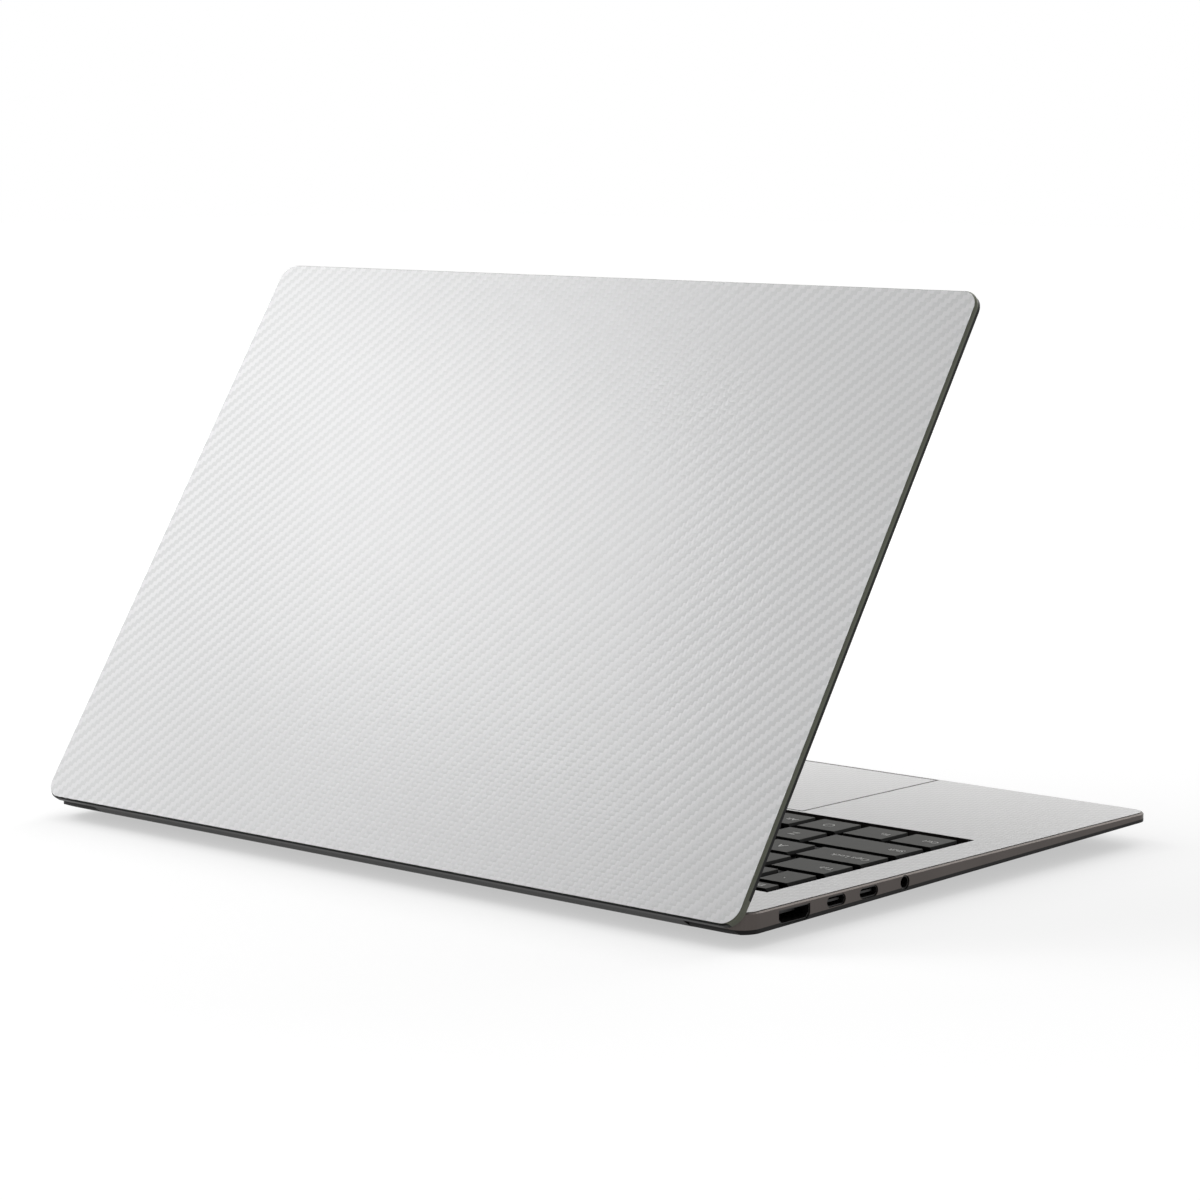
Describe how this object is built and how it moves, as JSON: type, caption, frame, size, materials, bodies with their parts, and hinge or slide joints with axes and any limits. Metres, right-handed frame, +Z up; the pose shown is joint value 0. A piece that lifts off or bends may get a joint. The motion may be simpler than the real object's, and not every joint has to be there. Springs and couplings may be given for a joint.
{
  "type": "laptop computer",
  "caption": "Thin clamshell laptop with a twill-textured white skin on lid and deck, a drop-hinged lid, travelling keys, a clicking touchpad, side sockets and twin cooling fans.",
  "frame": {"origin": "on the desk, in the middle of the footprint with the lid as it stands, 108.9 mm behind the base's front edge", "axes": "+X toward the user's right along the hinge, +Y toward the hinge, +Z up from the desk"},
  "size_m": [0.3102, 0.2178, 0.1876],
  "materials": {
    "case_metal": "satin anodised, dark warm grey",
    "lid_metal": "satin anodised, grey olive",
    "vinyl_skin": "white embossed twill vinyl film",
    "keyboard_plate": "black",
    "grille": "black",
    "cover_plastic": "black, fine texture",
    "screw_steel": "black oxide",
    "foot_rubber": "black",
    "battery_film": "black film",
    "circuit_board": "green solder mask",
    "copper": "satin",
    "fan_plastic": "black",
    "speaker_plastic": "black",
    "port_steel": "plated",
    "steel": "bare",
    "touchpad_glass": "dark grey",
    "bezel_plastic": "black",
    "display_glass": "dark glass, switched off",
    "gasket_rubber": "black",
    "camera_glass": "dark lens",
    "strip_plastic": "near black",
    "key_plastic": "dark grey"
  },
  "bodies": {
    "base": {"top_case": "case_metal", "deck_skin": "vinyl_skin", "keyboard_plate": "keyboard_plate", "touchpad_frame": "steel", "intake_grille": "grille", "bottom_cover": "cover_plastic", "cover_screws": "screw_steel", "front_feet": "foot_rubber", "rear_foot": "foot_rubber", "battery_pack": "battery_film", "mainboard": "circuit_board", "ssd_module": "circuit_board", "heat_sink": "copper", "fan_housings": "fan_plastic", "speakers": "speaker_plastic", "hdmi_port": "port_steel", "usb_c_ports": "port_steel", "audio_jack": "port_steel", "usb_a_port": "port_steel", "base_hinge_brackets": "steel"},
    "lid": {"lid_cover": "lid_metal", "lid_skin": "vinyl_skin", "display_bezel": "bezel_plastic", "display_panel": "display_glass", "lid_gasket": "gasket_rubber", "camera_module": "camera_glass", "hinge_strip": "strip_plastic", "lid_hinge_brackets": "steel"},
    "touchpad": {"touchpad": "touchpad_glass", "touchpad_skin": "vinyl_skin"},
    "left_fan": {"left_impeller": "fan_plastic"},
    "right_fan": {"right_impeller": "fan_plastic"},
    "left_ctrl_key": {"left_ctrl_key": "key_plastic"},
    "fn_key": {"fn_key": "key_plastic"},
    "start_key": {"start_key": "key_plastic"},
    "left_alt_key": {"left_alt_key": "key_plastic"},
    "space_key": {"space_key": "key_plastic"},
    "right_alt_key": {"right_alt_key": "key_plastic"},
    "right_ctrl_key": {"right_ctrl_key": "key_plastic"},
    "left_arrow_key": {"left_arrow_key": "key_plastic"},
    "up_arrow_key": {"up_arrow_key": "key_plastic"},
    "down_arrow_key": {"down_arrow_key": "key_plastic"},
    "right_arrow_key": {"right_arrow_key": "key_plastic"},
    "left_shift_key": {"left_shift_key": "key_plastic"},
    "lower_letter_keys": {"lower_letter_keys": "key_plastic"},
    "right_shift_key": {"right_shift_key": "key_plastic"},
    "caps_lock_key": {"caps_lock_key": "key_plastic"},
    "home_letter_keys": {"home_letter_keys": "key_plastic"},
    "enter_key": {"enter_key": "key_plastic"},
    "tab_key": {"tab_key": "key_plastic"},
    "upper_letter_keys": {"upper_letter_keys": "key_plastic"},
    "backslash_key": {"backslash_key": "key_plastic"},
    "grave_key": {"grave_key": "key_plastic"},
    "number_keys": {"number_keys": "key_plastic"},
    "backspace_key": {"backspace_key": "key_plastic"},
    "esc_key": {"esc_key": "key_plastic"},
    "function_keys": {"function_keys": "key_plastic"},
    "power_key": {"power_key": "key_plastic"}
  },
  "joints": [
    {"name": "lid_hinge", "type": "hinge", "parent": "base", "child": "lid", "pos_m": [0, 0.10055, 0.00811], "axis": [-1, 0, 0], "range_deg": [-56.88, 73.12]},
    {"name": "touchpad_click", "type": "hinge", "parent": "base", "child": "touchpad", "pos_m": [0, -0.03105, 0.0096], "axis": [1, 0, 0], "range_deg": [0, 0.3], "stiffness_Nm_per_rad": 40},
    {"name": "left_fan_spin", "type": "hinge", "parent": "base", "child": "left_fan", "pos_m": [-0.082, 0.05107, 0.0031], "axis": [0, 0, 1], "continuous": true},
    {"name": "right_fan_spin", "type": "hinge", "parent": "base", "child": "right_fan", "pos_m": [0.082, 0.05107, 0.0031], "axis": [0, 0, 1], "continuous": true},
    {"name": "left_ctrl_key_press", "type": "slide", "parent": "base", "child": "left_ctrl_key", "axis": [0, 0, -1], "range_m": [0, 0.001], "stiffness_N_per_m": 400},
    {"name": "fn_key_press", "type": "slide", "parent": "base", "child": "fn_key", "axis": [0, 0, -1], "range_m": [0, 0.001], "stiffness_N_per_m": 400},
    {"name": "start_key_press", "type": "slide", "parent": "base", "child": "start_key", "axis": [0, 0, -1], "range_m": [0, 0.001], "stiffness_N_per_m": 400},
    {"name": "left_alt_key_press", "type": "slide", "parent": "base", "child": "left_alt_key", "axis": [0, 0, -1], "range_m": [0, 0.001], "stiffness_N_per_m": 400},
    {"name": "space_key_press", "type": "slide", "parent": "base", "child": "space_key", "axis": [0, 0, -1], "range_m": [0, 0.001], "stiffness_N_per_m": 400},
    {"name": "right_alt_key_press", "type": "slide", "parent": "base", "child": "right_alt_key", "axis": [0, 0, -1], "range_m": [0, 0.001], "stiffness_N_per_m": 400},
    {"name": "right_ctrl_key_press", "type": "slide", "parent": "base", "child": "right_ctrl_key", "axis": [0, 0, -1], "range_m": [0, 0.001], "stiffness_N_per_m": 400},
    {"name": "left_arrow_key_press", "type": "slide", "parent": "base", "child": "left_arrow_key", "axis": [0, 0, -1], "range_m": [0, 0.001], "stiffness_N_per_m": 400},
    {"name": "up_arrow_key_press", "type": "slide", "parent": "base", "child": "up_arrow_key", "axis": [0, 0, -1], "range_m": [0, 0.001], "stiffness_N_per_m": 400},
    {"name": "down_arrow_key_press", "type": "slide", "parent": "base", "child": "down_arrow_key", "axis": [0, 0, -1], "range_m": [0, 0.001], "stiffness_N_per_m": 400},
    {"name": "right_arrow_key_press", "type": "slide", "parent": "base", "child": "right_arrow_key", "axis": [0, 0, -1], "range_m": [0, 0.001], "stiffness_N_per_m": 400},
    {"name": "left_shift_key_press", "type": "slide", "parent": "base", "child": "left_shift_key", "axis": [0, 0, -1], "range_m": [0, 0.001], "stiffness_N_per_m": 400},
    {"name": "lower_letter_keys_press", "type": "slide", "parent": "base", "child": "lower_letter_keys", "axis": [0, 0, -1], "range_m": [0, 0.001], "stiffness_N_per_m": 400},
    {"name": "right_shift_key_press", "type": "slide", "parent": "base", "child": "right_shift_key", "axis": [0, 0, -1], "range_m": [0, 0.001], "stiffness_N_per_m": 400},
    {"name": "caps_lock_key_press", "type": "slide", "parent": "base", "child": "caps_lock_key", "axis": [0, 0, -1], "range_m": [0, 0.001], "stiffness_N_per_m": 400},
    {"name": "home_letter_keys_press", "type": "slide", "parent": "base", "child": "home_letter_keys", "axis": [0, 0, -1], "range_m": [0, 0.001], "stiffness_N_per_m": 400},
    {"name": "enter_key_press", "type": "slide", "parent": "base", "child": "enter_key", "axis": [0, 0, -1], "range_m": [0, 0.001], "stiffness_N_per_m": 400},
    {"name": "tab_key_press", "type": "slide", "parent": "base", "child": "tab_key", "axis": [0, 0, -1], "range_m": [0, 0.001], "stiffness_N_per_m": 400},
    {"name": "upper_letter_keys_press", "type": "slide", "parent": "base", "child": "upper_letter_keys", "axis": [0, 0, -1], "range_m": [0, 0.001], "stiffness_N_per_m": 400},
    {"name": "backslash_key_press", "type": "slide", "parent": "base", "child": "backslash_key", "axis": [0, 0, -1], "range_m": [0, 0.001], "stiffness_N_per_m": 400},
    {"name": "grave_key_press", "type": "slide", "parent": "base", "child": "grave_key", "axis": [0, 0, -1], "range_m": [0, 0.001], "stiffness_N_per_m": 400},
    {"name": "number_keys_press", "type": "slide", "parent": "base", "child": "number_keys", "axis": [0, 0, -1], "range_m": [0, 0.001], "stiffness_N_per_m": 400},
    {"name": "backspace_key_press", "type": "slide", "parent": "base", "child": "backspace_key", "axis": [0, 0, -1], "range_m": [0, 0.001], "stiffness_N_per_m": 400},
    {"name": "esc_key_press", "type": "slide", "parent": "base", "child": "esc_key", "axis": [0, 0, -1], "range_m": [0, 0.001], "stiffness_N_per_m": 400},
    {"name": "function_keys_press", "type": "slide", "parent": "base", "child": "function_keys", "axis": [0, 0, -1], "range_m": [0, 0.001], "stiffness_N_per_m": 400},
    {"name": "power_key_press", "type": "slide", "parent": "base", "child": "power_key", "axis": [0, 0, -1], "range_m": [0, 0.001], "stiffness_N_per_m": 400}
  ]
}
